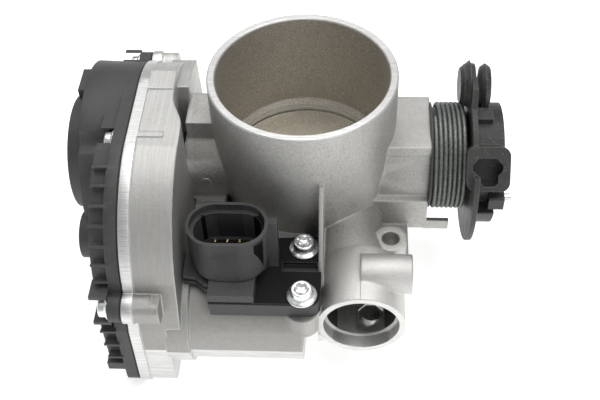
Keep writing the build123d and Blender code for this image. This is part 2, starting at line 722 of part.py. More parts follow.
with BuildPart() as motor_magnets:
    for face_dir in (0, 180):
        with BuildSketch(yz(CASE_FLOOR_X + 7)):
            with Locations(MOTOR):
                Circle(MOTOR_R - 1.2)
                Circle(MOTOR_R - 4.2, mode=Mode.SUBTRACT)
            with BuildLine():
                Polyline(MOTOR, *(polar(30, face_dir + turn, MOTOR) for turn in (62, 90, 180, 270, 298)),
                         close=True)
            make_face(mode=Mode.SUBTRACT)
        extrude(amount=30)
finish(motor_magnets, "motor_magnets")

with BuildPart() as motor_can:
    with BuildSketch(yz(CASE_FLOOR_X + 3)):
        with Locations(MOTOR):
            Circle(MOTOR_R)
    extrude(amount=MOTOR_END_X - 4 - CASE_FLOOR_X - 3)
    with BuildSketch(yz(CASE_FLOOR_X + 4.4)):
        with Locations(MOTOR):
            Circle(MOTOR_R - 1.2)
    extrude(amount=40, mode=Mode.SUBTRACT)
    with BuildSketch(yz(CASE_FLOOR_X)):
        with Locations(MOTOR):
            Circle(1.66)
    extrude(amount=60, mode=Mode.SUBTRACT)
finish(motor_can, "motor_can")

with BuildPart() as motor_end_plate:
    with BuildSketch(yz(CASE_FLOOR_X)):
        with Locations(MOTOR):
            Circle(MOTOR_R + 0.2)
            Circle(4.5, mode=Mode.SUBTRACT)
    extrude(amount=2.9)
    with BuildSketch(yz(CASE_FLOOR_X - 1.6)):
        with Locations(MOTOR):
            Rectangle(32, 8, rotation=110)
            Circle(4.5, mode=Mode.SUBTRACT)
    extrude(amount=1.6)
finish(motor_end_plate, "motor_end_plate")

# ---------------------------------------------------------------- expansion plug
with BuildPart() as passage_plug:
    with BuildSketch(yz(PLUG_X1 - 3.4)):
        with Locations((PLUG_Y, PLUG_Z)):
            Circle(4.8)
    extrude(amount=3)
    with BuildSketch(yz(PLUG_X1 - 2.2)):
        with Locations((PLUG_Y, PLUG_Z)):
            Circle(3.8)
    extrude(amount=2, mode=Mode.SUBTRACT)
finish(passage_plug, "passage_plug")

# ---------------------------------------------------------------- gasket and actuator cover
GASKET_X = CASE_X - 0.8
FLANGE_OUT_X = GASKET_X - 4.2
SKIRT_X, PLATEAU_X, DOME_X, IDLER_BOSS_X = -69.5, -78.2, -86.0, -80.3
COVER_WALL = 2.2
DOME_R = 21.6
NOSE, NOSE_R = (-28.5, 23.4), 38.6      # centre and radius of the rounded front of the case

with BuildPart() as cover_gasket:
    with BuildSketch(yz(GASKET_X)):
        add(case_face(0))
        add(case_face(-2.6, lugs=False), mode=Mode.SUBTRACT)
        with Locations(*COVER_SCREWS):
            Circle(2.3, mode=Mode.SUBTRACT)
    extrude(amount=0.8)
finish(cover_gasket, "cover_gasket")

with BuildPart() as actuator_cover:
    # flange
    with BuildSketch(yz(FLANGE_OUT_X)):
        add(case_face(0.2))
    extrude(amount=GASKET_X - FLANGE_OUT_X)
    # skirt over the gear train
    with BuildSketch(yz(SKIRT_X)):
        add(case_face(-2.2, lugs=False))
    extrude(amount=FLANGE_OUT_X - SKIRT_X)
    # round shell over the shaft, drafted
    with BuildSketch(yz(FLANGE_OUT_X)):
        with Locations(SHAFT):
            Circle(CASE_TOP + 0.2)
    extrude(amount=PLATEAU_X - FLANGE_OUT_X, taper=-2)
    # block on the round shell, ledges beside two screws
    with BuildSketch(yz(PLATEAU_X + 4)):
        with Locations((14, 46)):
            Rectangle(12, 12)
    extrude(amount=-10.8)
    ledges = ((-30.6, 57.4, 3, 4), (-67.2, 28.9, 7.6, 1.6), (-69.4, 17.2, 7.0, 1.5),
              (-69.6, -10.6, 5.6, 4.0), (26.5, 52.2, 8, 1.6))
    for ledge_y, ledge_z, wide, tall in ledges:
        with BuildSketch(yz(FLANGE_OUT_X)):
            with Locations((ledge_y, ledge_z)):
                Rectangle(wide, tall)
        extrude(amount=-6.2)
    # small gussets between skirt and flange, round the nose and down the front
    gusset_feet = [(polar(NOSE_R - 2.4, turn, NOSE), turn) for turn in range(107, 170, 10)]
    gusset_feet += [((-69.9, z), 184) for z in (12.0, 4.0, -4.0)]
    for (foot_y, foot_z), turn in gusset_feet:
        with BuildSketch(Plane(origin=(FLANGE_OUT_X, foot_y, foot_z), x_dir=(-1, 0, 0),
                               z_dir=(0, -sin(radians(turn)), cos(radians(turn))))):
            with BuildLine():
                Polyline((-0.5, -3), (5.0, -3), (4.4, 0.2), (-0.5, 2.2), close=True)
            make_face()
        extrude(amount=0.45, both=True)
    # dome over the potentiometer and boss over the gear axle
    with BuildSketch(yz(PLATEAU_X)):
        with Locations(SHAFT):
            Circle(DOME_R)
    extrude(amount=DOME_X - PLATEAU_X)
    with BuildSketch(yz(SKIRT_X)):
        with Locations(IDLER):
            Circle(8.6)
    extrude(amount=IDLER_BOSS_X - SKIRT_X)
    # hollow
    with BuildSketch(yz(GASKET_X)):
        add(case_face(-CASE_WALL - 1, lugs=False))
        with Locations(*COVER_SCREWS):
            Circle(COVER_LUG_R - 0.4, mode=Mode.SUBTRACT)
    extrude(amount=SKIRT_X + COVER_WALL - GASKET_X, mode=Mode.SUBTRACT)
    with BuildSketch(yz(SKIRT_X)):
        with Locations(SHAFT):
            Circle(CASE_TOP - 5)
    extrude(amount=PLATEAU_X + COVER_WALL - SKIRT_X, mode=Mode.SUBTRACT)
    with BuildSketch(yz(SKIRT_X + 3)):
        with Locations(SHAFT):
            Circle(CASE_TOP - 5)
    extrude(amount=-4, mode=Mode.SUBTRACT)
    with BuildSketch(yz(PLATEAU_X + 3)):
        with Locations(SHAFT):
            Circle(DOME_R - 2.2)
    extrude(amount=DOME_X + COVER_WALL - PLATEAU_X - 3, mode=Mode.SUBTRACT)
    with BuildSketch(yz(SKIRT_X + 3)):
        with Locations(IDLER):
            Circle(2.52)
    extrude(amount=-9, mode=Mode.SUBTRACT)
    # screw recesses and holes
    for place in COVER_SCREWS:
        with BuildSketch(yz(FLANGE_OUT_X)):
            with Locations(place):
                Circle(4.9)
        extrude(amount=-30, mode=Mode.SUBTRACT)
    with BuildSketch(yz(GASKET_X)):
        with Locations(*COVER_SCREWS):
            Circle(2.3)
    extrude(amount=-5, mode=Mode.SUBTRACT)
finish(actuator_cover, "actuator_cover")

with BuildPart() as cover_screws:
    with BuildSketch(yz(FLANGE_OUT_X - 3.6)):
        with Locations(*COVER_SCREWS):
            Circle(3.6)
    extrude(amount=2.8)
    with BuildSketch(yz(FLANGE_OUT_X - 0.9)):
        with Locations(*COVER_SCREWS):
            Circle(4.5)
    extrude(amount=0.9)
    with BuildSketch(yz(FLANGE_OUT_X - 0.5)):
        with Locations(*COVER_SCREWS):
            Circle(1.95)
    extrude(amount=12.5)
    with BuildSketch(yz(FLANGE_OUT_X - 3.6)):
        with Locations(*COVER_SCREWS):
            RegularPolygon(2.0, 6)
    extrude(amount=1.8, mode=Mode.SUBTRACT)
finish(cover_screws, "cover_screws")

# ---------------------------------------------------------------- connector
PIN_X, PIN_Y = CONN_X + 1.4, CONN_Y - 1

with BuildPart() as connector_housing:
    # bracket plate
    with BuildSketch(Plane.XY.offset(PLATE_LOW_Z)):
        with BuildLine():
            Polyline((-38, -40), (6.1, -37.5), (6.1, -50), (7.8, -50), (7.8, -63), (3.6, BAR_FRONT_Y),
                     (-15.5, BAR_FRONT_Y), (-15.5, -57), (-38, -57), close=True)
        make_face()
        with Locations((3.6, BAR_FRONT_Y + 4.2)):
            Circle(4.2)
    extrude(amount=PLATE_TOP_Z - PLATE_LOW_Z)
    # slot between the screws, with a floor
    with BuildSketch(Plane.XY.offset(PLATE_LOW_Z + 0.9)):
        with Locations((1.5, -51.4)):
            Rectangle(15, 4.0)
    extrude(amount=6, mode=Mode.SUBTRACT)
    # front bar
    with BuildSketch(Plane.XY.offset(BAR_LOW_Z)):
        with BuildLine():
            Polyline((-30.4, BAR_BACK_Y), (3.6, BAR_BACK_Y), (3.6, BAR_FRONT_Y), (-30.4, BAR_FRONT_Y),
                     close=True)
        make_face()
        with Locations((3.6, BAR_FRONT_Y + 4.2)):
            Circle(4.2)
        with Locations((3.6, BAR_BACK_Y)):
            Rectangle(12, 12, align=(Align.CENTER, Align.MIN), mode=Mode.SUBTRACT)
    extrude(amount=BAR_TOP_Z - BAR_LOW_Z)
    # left wing beside the gear case
    with BuildSketch(Plane.XY.offset(PLATE_LOW_Z + 1.5)):
        with BuildLine():
            Polyline((-40.6, -46), (-30, -44), (-30, -61), (-32.5, -61), (-36, -58), (-40.4, -57.4),
                     close=True)
        make_face()
    extrude(amount=4)
    # lower box, bulge and shroud
    with BuildSketch(Plane.XY.offset(PLATE_LOW_Z)):
        with Locations((-22.8, -55.7)):
            Rectangle(15.8, 23.2)
    extrude(amount=7.7)
    with BuildSketch(Plane.XY.offset(PLATE_LOW_Z + 8)):
        with Locations((CONN_X + 0.8, CONN_Y - 3)):
            RectangleRounded(CONN_W - 3, CONN_D + 3, 9.6)
    with BuildSketch(Plane.XY.offset(35)):
        with Locations((CONN_X, CONN_Y)):
            RectangleRounded(CONN_W, CONN_D, 9.6)
    loft()
    with BuildSketch(Plane.XY.offset(CONN_RIM_Z)):
        with Locations((CONN_X, CONN_Y)):
            RectangleRounded(CONN_W, CONN_D, 9.6)
    extrude(amount=-(CONN_RIM_Z - PLATE_TOP_Z))
    # latch fin
    with BuildSketch(yz(-10.8)):
        with BuildLine():
            Polyline((-43, PLATE_TOP_Z - 1), (-43, 40), (-46, 40), (-51.5, PLATE_TOP_Z - 1), close=True)
        make_face()
    extrude(amount=3.3)
    # socket, stepped, with a raised terminal block on its floor
    with BuildSketch(Plane.XY.offset(CONN_RIM_Z)):
        with Locations((CONN_X, CONN_Y)):
            RectangleRounded(CONN_W - 2.2, CONN_D - 2.2, 8.5)
    extrude(amount=-3.2, mode=Mode.SUBTRACT)
    with BuildSketch(Plane.XY.offset(CONN_RIM_Z - 3.2)):
        with Locations((CONN_X, CONN_Y)):
            RectangleRounded(CONN_W - 4.6, CONN_D - 4.6, 7.3)
    extrude(amount=-13, mode=Mode.SUBTRACT)
    with BuildSketch(Plane.XY.offset(TERMINAL_Z0)):
        with Locations((PIN_X, PIN_Y)):
            RectangleRounded(19.0, 10.0, 4.0)
    extrude(amount=5.6)
    # terminal slots and screw holes
    with BuildSketch(Plane.XY.offset(TERMINAL_Z0)):
        with Locations((PIN_X, PIN_Y)):
            with GridLocations(4.3, 4.6, 4, 2):
                Rectangle(0.63, 1.2)
    extrude(amount=7, mode=Mode.SUBTRACT)
    with BuildSketch(Plane.XY.offset(10)):
        with Locations(SCREW1, SCREW2):
            Circle(2.7)
    extrude(amount=20, mode=Mode.SUBTRACT)
finish(connector_housing, "connector_housing")

with BuildPart() as connector_terminals:
    with BuildSketch(Plane.XY.offset(TERMINAL_Z0)):
        with Locations((PIN_X, PIN_Y)):
            with GridLocations(4.3, 4.6, 4, 2):
                Rectangle(0.63, 1.2)
    extrude(amount=8.2)
finish(connector_terminals, "connector_terminals")

with BuildPart() as connector_screws:
    with BuildSketch(Plane.XY.offset(PLATE_TOP_Z)):
        with Locations(SCREW1, SCREW2):
            Circle(5.3)
    extrude(amount=1.0)
    with BuildSketch(Plane.XY.offset(PLATE_TOP_Z)):
        with Locations(SCREW1, SCREW2):
            Circle(3.7)
    extrude(amount=4.2)
    with BuildSketch(Plane.XY.offset(PLATE_TOP_Z + 4.2)):
        with Locations(SCREW1, SCREW2):
            RegularPolygon(2.3, 6)
    extrude(amount=-2.6, mode=Mode.SUBTRACT)
    with BuildSketch(Plane.XY.offset(PLATE_TOP_Z + 0.5)):
        with Locations(SCREW1, SCREW2):
            Circle(2.45)
    extrude(amount=-14.6)
finish(connector_screws, "connector_screws")

# ---------------------------------------------------------------- throttle position sensor
with BuildPart() as sensor_wiper:
    ring(SHAFT_X0 - 0.5, 4, 6.0, 2.5)
    with BuildSketch(yz(SHAFT_X0 - 0.5)):
        with Locations(polar(10, 90)):
            Rectangle(5, 12)
    extrude(amount=1.4)
finish(sensor_wiper, "sensor_wiper")

with BuildPart() as sensor_board:
    with BuildSketch(yz(DOME_X + COVER_WALL)):
        with Locations(SHAFT):
            Circle(DOME_R - 2.4)
    extrude(amount=1.6)
finish(sensor_board, "sensor_board")
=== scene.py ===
"""Looks for the throttle body: studio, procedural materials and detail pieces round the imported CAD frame.

Row frame in metres: +Z up the bore, +X along the throttle shaft to the cable quadrant, -Y towards the port.
"""
import json
from math import cos, pi, radians, sin

import bmesh
import bpy
from mathutils import Matrix, Vector


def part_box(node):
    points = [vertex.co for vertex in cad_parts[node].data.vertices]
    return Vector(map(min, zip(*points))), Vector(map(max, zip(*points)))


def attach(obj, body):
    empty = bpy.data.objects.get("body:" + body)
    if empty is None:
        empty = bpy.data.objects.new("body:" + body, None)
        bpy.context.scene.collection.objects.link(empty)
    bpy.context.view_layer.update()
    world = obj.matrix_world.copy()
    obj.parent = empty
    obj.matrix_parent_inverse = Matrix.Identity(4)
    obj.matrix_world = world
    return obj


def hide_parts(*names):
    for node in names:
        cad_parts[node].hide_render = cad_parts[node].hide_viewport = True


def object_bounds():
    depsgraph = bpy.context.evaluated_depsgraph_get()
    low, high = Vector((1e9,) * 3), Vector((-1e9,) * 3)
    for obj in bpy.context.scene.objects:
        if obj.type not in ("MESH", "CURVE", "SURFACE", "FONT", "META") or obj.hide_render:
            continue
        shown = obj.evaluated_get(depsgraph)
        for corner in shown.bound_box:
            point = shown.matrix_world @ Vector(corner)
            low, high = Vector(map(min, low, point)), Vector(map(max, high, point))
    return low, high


MM = 0.001
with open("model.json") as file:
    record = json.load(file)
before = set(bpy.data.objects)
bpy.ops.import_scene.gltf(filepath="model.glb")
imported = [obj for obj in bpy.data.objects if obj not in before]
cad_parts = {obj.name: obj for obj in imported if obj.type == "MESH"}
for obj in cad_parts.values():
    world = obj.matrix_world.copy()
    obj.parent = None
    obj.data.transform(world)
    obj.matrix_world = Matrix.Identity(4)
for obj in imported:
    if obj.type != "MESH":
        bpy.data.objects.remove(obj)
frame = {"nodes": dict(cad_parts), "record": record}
cad_lo, cad_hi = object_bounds()
nodes = frame["nodes"]

# ---------------------------------------------------------------- places on the part, in mm
RIM_Z = cad_hi.z / MM
SHAFT_Z = (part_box("throttle_shaft")[0].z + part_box("throttle_shaft")[1].z) / 2 / MM
INLET_R = 31.0
THROAT_R, THROAT_TOP_Z = 28.0, 27.2
CASE_LIP_X = -55.2
BLOCK_FACE_X, BLOCK_LOW_Z = 46.5, 10.0
PLUG_FACE_X, PLUG_LOW_Y = 39.4, -44.0
PORT_X, PORT_Z, PORT_R = 22.0, 9.0, 15.5
PORT_BORE_R = 12.4
PORT_FACE_Y, PORT_SEAT_Y, PORT_FLOOR_Y = -66.0, -61.0, -43.5
BRACKET_HEAD_H = 4.2
BRACKET_TOP_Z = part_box("connector_screws")[1].z / MM - BRACKET_HEAD_H

# ---------------------------------------------------------------- camera
SENSOR_MM = 36.0
LENS_MM = 58.14
CLIP_START = 0.01
CAMERA_AT = Vector((17.76, -260.43, 291.99)) * MM
ELEVATION, AZIMUTH, ROLL = radians(48.08), radians(4.51), radians(2.53)


def make_camera():
    """Camera at the photograph's place, whose backward axis leans up by the elevation."""
    back = Vector((sin(AZIMUTH) * cos(ELEVATION), -cos(AZIMUTH) * cos(ELEVATION), sin(ELEVATION)))
    level = Vector((cos(AZIMUTH), sin(AZIMUTH), 0))
    upright = back.cross(level)
    right = level * cos(ROLL) - upright * sin(ROLL)
    up = level * sin(ROLL) + upright * cos(ROLL)
    data = bpy.data.cameras.new("camera")
    data.sensor_width, data.lens, data.clip_start = SENSOR_MM, LENS_MM, CLIP_START
    camera = bpy.data.objects.new("camera", data)
    camera.matrix_world = Matrix((right, up, back)).transposed().to_4x4()
    camera.matrix_world.translation = CAMERA_AT
    bpy.context.scene.collection.objects.link(camera)
    bpy.context.scene.camera = camera


make_camera()


# ---------------------------------------------------------------- material kit
BEVEL_SAMPLES = 6
FLAT_COSINE, EDGE_COSINE = 0.995, 0.86  # between true and rounded normal, away from an edge and on it


class Surface:
    """A Principled material whose patterns are read in millimetres in the row frame."""

    def __init__(self, name, **values):
        self.material = bpy.data.materials.new(name)
        self.material.use_nodes = True
        self.tree = self.material.node_tree
        self.shader = self.tree.nodes["Principled BSDF"]
        for key, value in values.items():
            self.shader.inputs[key.replace("_", " ")].default_value = value
        place = self.tree.nodes.new("ShaderNodeTexCoord").outputs["Object"]
        self.mm = self.vector("SCALE", place, scale=1 / MM)
        parts = self.tree.nodes.new("ShaderNodeSeparateXYZ")
        self.tree.links.new(self.mm, parts.inputs[0])
        self.x, self.y, self.z = parts.outputs

    def _feed(self, socket, value):
        if isinstance(value, bpy.types.NodeSocket):
            self.tree.links.new(value, socket)
        elif value is not None:
            socket.default_value = value

    def vector(self, operation, a, b=None, scale=None):
        node = self.tree.nodes.new("ShaderNodeVectorMath")
        node.operation = operation
        self._feed(node.inputs[0], a)
        self._feed(node.inputs[1], b)
        if scale is not None:
            node.inputs["Scale"].default_value = scale
        return node.outputs[0]

    def math(self, operation, a, b=None, clamp=False):
        node = self.tree.nodes.new("ShaderNodeMath")
        node.operation, node.use_clamp = operation, clamp
        self._feed(node.inputs[0], a)
        self._feed(node.inputs[1], b)
        return node.outputs[0]

    def span(self, value, low, high, out_low=0.0, out_high=1.0):
        """Smooth step from out_low to out_high as value goes from low to high, which may be the smaller."""
        node = self.tree.nodes.new("ShaderNodeMapRange")
        node.interpolation_type = "SMOOTHSTEP"
        for key, given in (("Value", value), ("From Min", low), ("From Max", high),
                           ("To Min", out_low), ("To Max", out_high)):
            self._feed(node.inputs[key], given)
        return node.outputs[0]

    def band(self, value, low, high, soft):
        """1 between low and high, fading to 0 over a soft margin inside each end."""
        return self.both(self.span(value, low, low + soft), self.span(value, high, high - soft))

    def length(self, across, up):
        """Length of a flat vector from its two sockets."""
        squares = self.math("ADD", self.math("POWER", across, 2.0), self.math("POWER", up, 2.0))
        return self.math("SQRT", squares)

    def noise(self, scale, detail=3.0, rough=0.55, stretch=None):
        """Noise with features of about 1/scale mm; stretch scales the three directions first."""
        node = self.tree.nodes.new("ShaderNodeTexNoise")
        place = self.vector("MULTIPLY", self.mm, stretch) if stretch else self.mm
        self.tree.links.new(place, node.inputs["Vector"])
        node.inputs["Scale"].default_value = scale
        node.inputs["Detail"].default_value = detail
        node.inputs["Roughness"].default_value = rough
        return node.outputs["Fac"]

    def colour(self, factor, a, b):
        """Colour between a and b; each is a colour or a socket."""
        node = self.tree.nodes.new("ShaderNodeMix")
        node.data_type = "RGBA"
        self._feed(node.inputs["Factor"], factor)
        self._feed(node.inputs["A"], (*a, 1.0) if isinstance(a, tuple) else a)
        self._feed(node.inputs["B"], (*b, 1.0) if isinstance(b, tuple) else b)
        return node.outputs["Result"]

    def any_of(self, *masks):
        """The largest of the masks."""
        total = masks[0]
        for mask in masks[1:]:
            total = self.math("MAXIMUM", total, mask)
        return total

    def both(self, *masks):
        """The product of the masks."""
        total = masks[0]
        for mask in masks[1:]:
            total = self.math("MULTIPLY", total, mask)
        return total

    def rounded(self, radius):
        """Normal with edges rounded to a radius in mm or a socket in metres, and how near an edge is."""
        bevel = self.tree.nodes.new("ShaderNodeBevel")
        bevel.samples = BEVEL_SAMPLES
        metres = radius if isinstance(radius, bpy.types.NodeSocket) else radius * MM
        self._feed(bevel.inputs["Radius"], metres)
        flat = self.tree.nodes.new("ShaderNodeNewGeometry").outputs["Normal"]
        dot = self.tree.nodes.new("ShaderNodeVectorMath")
        dot.operation = "DOT_PRODUCT"
        self.tree.links.new(bevel.outputs[0], dot.inputs[0])
        self.tree.links.new(flat, dot.inputs[1])
        return bevel.outputs[0], self.span(dot.outputs["Value"], FLAT_COSINE, EDGE_COSINE)

    def bump(self, height, depth, normal=None):
        """Height 0 to 1 as relief of depth mm."""
        node = self.tree.nodes.new("ShaderNodeBump")
        node.inputs["Strength"].default_value = 1.0
        node.inputs["Distance"].default_value = depth * MM
        self._feed(node.inputs["Height"], height)
        if normal is not None:
            self._feed(node.inputs["Normal"], normal)
        return node.outputs[0]

    def set(self, **sockets):
        """Feeds the shader's sockets, named with underscores, and returns the material."""
        for key, value in sockets.items():
            self._feed(self.shader.inputs[key.replace("_", " ")], value)
        return self.material


# ---------------------------------------------------------------- materials
def cast_aluminium():
    """Sandy-grained die casting with machined rim and joint faces, painted shade in the port and on the
    motor side, painted light on the port side and a painted highlight on the edges.
    """
    s = Surface("cast_aluminium", Metallic=1.0)
    grain = s.noise(2.6, 2.0, 0.6)
    coarse = s.noise(0.55, 3.0)
    cloud = s.noise(0.05, 3.0)
    radius = s.length(s.x, s.y)
    off_port = s.length(s.math("SUBTRACT", s.x, PORT_X), s.math("SUBTRACT", s.z, PORT_Z))

    rim = s.span(s.z, RIM_Z - 0.7, RIM_Z - 0.3)
    inside = s.both(s.span(radius, INLET_R + 0.9, INLET_R + 0.5),
                    s.span(s.z, THROAT_TOP_Z - 0.2, THROAT_TOP_Z + 0.2),
                    s.span(s.z, RIM_Z - 0.4, RIM_Z - 0.7))
    throat = s.both(s.span(radius, THROAT_R + 0.6, THROAT_R + 0.3),
                    s.span(s.z, THROAT_TOP_Z + 0.3, THROAT_TOP_Z))
    lip = s.span(s.x, CASE_LIP_X + 0.1, CASE_LIP_X - 0.1)
    port_left = PORT_X - PORT_R
    port_face = s.both(s.span(s.y, PORT_FACE_Y + 0.3, PORT_FACE_Y + 0.05),
                       s.span(s.x, port_left + 0.1, port_left + 0.2))
    block_face = s.both(s.span(s.x, BLOCK_FACE_X - 0.2, BLOCK_FACE_X - 0.02),
                        s.span(s.z, BLOCK_LOW_Z, BLOCK_LOW_Z + 1.0))
    plug_face = s.both(s.span(s.x, PLUG_FACE_X - 0.15, PLUG_FACE_X - 0.02),
                       s.span(s.y, PLUG_LOW_Y, PLUG_LOW_Y - 1.0))
    flange_face = s.span(s.z, 0.05, 0.0)
    # Painted shade: mask of the port bore, which is made near black as the shade inside the port.
    port_bore_painted_shade = s.both(s.span(off_port, PORT_BORE_R + 0.6, PORT_BORE_R + 0.4),
                       s.span(s.y, PORT_SEAT_Y + 0.2, PORT_SEAT_Y + 0.4),
                       s.span(s.y, PORT_FLOOR_Y + 0.5, PORT_FLOOR_Y + 0.3))
    case_top = s.both(s.span(s.x, -40.0, -41.5), s.span(s.z, SHAFT_Z, SHAFT_Z + 12.0))
    machined = s.any_of(rim, lip, block_face, plug_face, throat, flange_face,
                        s.math("MULTIPLY", port_face, 0.6))
    # Painted shade: the casting by the motor is darkened by position.
    motor_side_painted_shade = s.both(s.span(s.x, 5.0, 0.0), s.span(s.y, -24.0, -50.0))
    # Painted light: the port side is made paler by position.
    port_side_painted_light = s.both(s.span(s.x, 7.0, 12.0), s.span(s.y, -30.0, -44.0))

    turned = s.math("SINE", s.math("MULTIPLY", radius, 24.0))
    draw_lines = s.noise(1.0, 2.0, 0.6, (1.6, 0.035, 0.12))
    cross_lines = s.noise(1.0, 2.0, 0.6, (0.10, 2.2, 2.2))
    cast_radius, machined_radius = 1.1 * MM, 0.25 * MM
    normal, edge = s.rounded(s.span(machined, 0.0, 1.0, cast_radius, machined_radius))

    sand = s.colour(s.span(grain, 0.30, 0.72), (0.36, 0.355, 0.34), (0.66, 0.655, 0.635))
    sand = s.colour(s.span(coarse, 0.35, 0.70, 0.0, 0.35), sand, (0.62, 0.61, 0.58))
    sand = s.colour(s.span(cloud, 0.35, 0.70, 0.0, 0.30), sand, (0.40, 0.39, 0.37))
    drawn = s.colour(s.span(draw_lines, 0.35, 0.68), (0.60, 0.595, 0.58), (0.76, 0.76, 0.75))
    sand = s.colour(s.math("MULTIPLY", case_top, 0.5), sand, drawn)
    bore = s.colour(s.span(grain, 0.30, 0.70), (0.36, 0.34, 0.30), (0.72, 0.685, 0.615))
    bright = s.colour(s.span(cross_lines, 0.3, 0.7), (0.62, 0.62, 0.61), (0.80, 0.80, 0.79))
    # Painted shade on the motor side.
    tone = s.colour(s.math("MULTIPLY", motor_side_painted_shade, 0.62), sand, (0.30, 0.295, 0.28))
    # Painted light on the port side.
    tone = s.colour(s.math("MULTIPLY", port_side_painted_light, 0.45), tone, (0.84, 0.83, 0.80))
    tone = s.colour(inside, tone, bore)
    # Painted shade: the port bore goes near black.
    tone = s.colour(s.math("MULTIPLY", port_bore_painted_shade, 0.92), tone, (0.05, 0.049, 0.046))
    tone = s.colour(s.math("MULTIPLY", machined, 0.85), tone, bright)
    # Painted highlight: paler tone along the edges, partly real polish.
    tone = s.colour(s.math("MULTIPLY", edge, 0.45), tone, (0.86, 0.86, 0.85))
    rough = s.span(machined, 0.0, 1.0, 0.55, 0.40)
    rough = s.math("ADD", rough, s.span(grain, 0.2, 0.8, -0.05, 0.10))

    relief = s.math("ADD", s.math("MULTIPLY", grain, 0.65), s.math("MULTIPLY", coarse, 0.6))
    relief = s.math("MULTIPLY", relief, s.span(machined, 0.0, 1.0, 1.0, 0.15))
    relief = s.math("ADD", relief, s.both(rim, s.math("MULTIPLY", turned, 0.06)))
    relief = s.math("ADD", relief, s.both(lip, s.math("MULTIPLY", cross_lines, 0.5)))
    relief = s.math("ADD", relief, s.both(case_top, s.math("MULTIPLY", draw_lines, 0.25)))
    return s.set(Base_Color=tone, Roughness=rough, Normal=s.bump(relief, 0.16, normal))


EDGE_RADIUS = 0.4


def moulded(name, low, high, grain_scale=2.4, depth=0.05, rough=(0.48, 0.62), worn_and_highlight=(0.16, 0.16, 0.162),
            edge_highlight_share=0.4):
    """Moulded plastic: fine erosion texture, faint mottling, paler edges that are partly real rubbing and
    partly a painted highlight.
    """
    s = Surface(name)
    grain = s.noise(grain_scale, 2.0, 0.6)
    mottle = s.noise(0.09, 4.0)
    scuff = s.noise(0.5, 3.0, 0.7, (0.35, 1.0, 1.6))
    normal, edge = s.rounded(EDGE_RADIUS)
    tone = s.colour(s.span(mottle, 0.32, 0.70), low, high)
    tone = s.colour(s.span(grain, 0.58, 0.74, 0.0, 0.35), tone, worn_and_highlight)
    tone = s.colour(s.span(scuff, 0.62, 0.80, 0.0, 0.12), tone, worn_and_highlight)
    # Paler edges: partly real rubbing, partly a painted highlight.
    tone = s.colour(s.math("MULTIPLY", edge, edge_highlight_share), tone, worn_and_highlight)
    roughness = s.span(mottle, 0.3, 0.7, *rough)
    return s.set(Base_Color=tone, Roughness=roughness, Normal=s.bump(grain, depth, normal))


def connector_plastic():
    """Moulded black, with painted shade making it deeper black in the socket and on the smooth top of the
    bracket plate.
    """
    low, high = (0.036, 0.036, 0.038), (0.054, 0.054, 0.056)
    rubbed, painted_shade_black = (0.16, 0.16, 0.162), (0.004, 0.004, 0.004)
    s = Surface("connector_plastic")
    grain = s.noise(2.4, 2.0, 0.6)
    mottle = s.noise(0.09, 4.0)
    normal, edge = s.rounded(EDGE_RADIUS)
    terminals_lo, terminals_hi = (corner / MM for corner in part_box("connector_terminals"))
    margin = 4.6
    across = s.band(s.x, terminals_lo.x - margin, terminals_hi.x + margin, 0.3)
    along = s.band(s.y, terminals_lo.y - margin, terminals_hi.y + margin, 0.3)
    shroud_top, socket_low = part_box("connector_housing")[1].z / MM, BRACKET_TOP_Z + 0.8
    socket = s.both(across, along, s.span(s.z, shroud_top - 0.3, shroud_top - 3.0),
                    s.span(s.z, socket_low, socket_low + 1.5))
    plate_top = s.band(s.z, BRACKET_TOP_Z - 1.1, BRACKET_TOP_Z + 0.3, 0.2)
    tone = s.colour(s.span(mottle, 0.32, 0.70), low, high)
    tone = s.colour(s.span(grain, 0.58, 0.74, 0.0, 0.35), tone, rubbed)
    # Painted shade: near black in the socket and on the top of the bracket plate.
    tone = s.colour(s.any_of(socket, s.math("MULTIPLY", plate_top, 0.8)), tone, painted_shade_black)
    # Paler edges: partly real rubbing, partly a painted highlight.
    tone = s.colour(s.math("MULTIPLY", edge, 0.4), tone, (0.20, 0.20, 0.20))
    gloss = s.span(s.any_of(socket, plate_top), 0.0, 1.0, 0.5, 0.08)
    return s.set(Base_Color=tone, Roughness=s.span(mottle, 0.3, 0.7, 0.5, 0.64), Specular_IOR_Level=gloss,
                 Normal=s.bump(grain, 0.05, normal))


def metal(name, low, high, rough=(0.2, 0.4), grain_scale=1.2, stretch=None, depth=0.02, edge_highlight_tone=None):
    """Plated, ground or drawn metal with fine lines or spangle, and a painted highlight on its edges when
    given a tone for it.
    """
    s = Surface(name, Metallic=1.0)
    lines = s.noise(grain_scale, 3.0, 0.6, stretch)
    cloud = s.noise(0.25, 3.0)
    normal, edge = s.rounded(0.15)
    tone = s.colour(s.span(lines, 0.3, 0.7), low, high)
    # Painted highlight: paler tone along the edges.
    if edge_highlight_tone:
        tone = s.colour(s.math("MULTIPLY", edge, 0.6), tone, edge_highlight_tone)
    roughness = s.math("ADD", s.span(cloud, 0.3, 0.7, *rough), s.span(lines, 0.3, 0.7, -0.04, 0.06))
    return s.set(Base_Color=tone, Roughness=roughness, Normal=s.bump(lines, depth, normal))


def plate_metal():
    """Throttle disc: fine sandy grain, warm from deposits, with browner patches."""
    s = Surface("plate_metal", Metallic=1.0)
    grain = s.noise(2.2, 3.0, 0.65)
    film = s.noise(0.08, 4.0, 0.6)
    normal, _ = s.rounded(0.2)
    tone = s.colour(s.span(grain, 0.3, 0.7), (0.50, 0.46, 0.39), (0.86, 0.81, 0.71))
    tone = s.colour(s.span(film, 0.40, 0.72, 0.0, 0.4), tone, (0.55, 0.50, 0.42))
    return s.set(Base_Color=tone, Roughness=s.span(grain, 0.2, 0.8, 0.42, 0.60),
                 Normal=s.bump(grain, 0.06, normal))


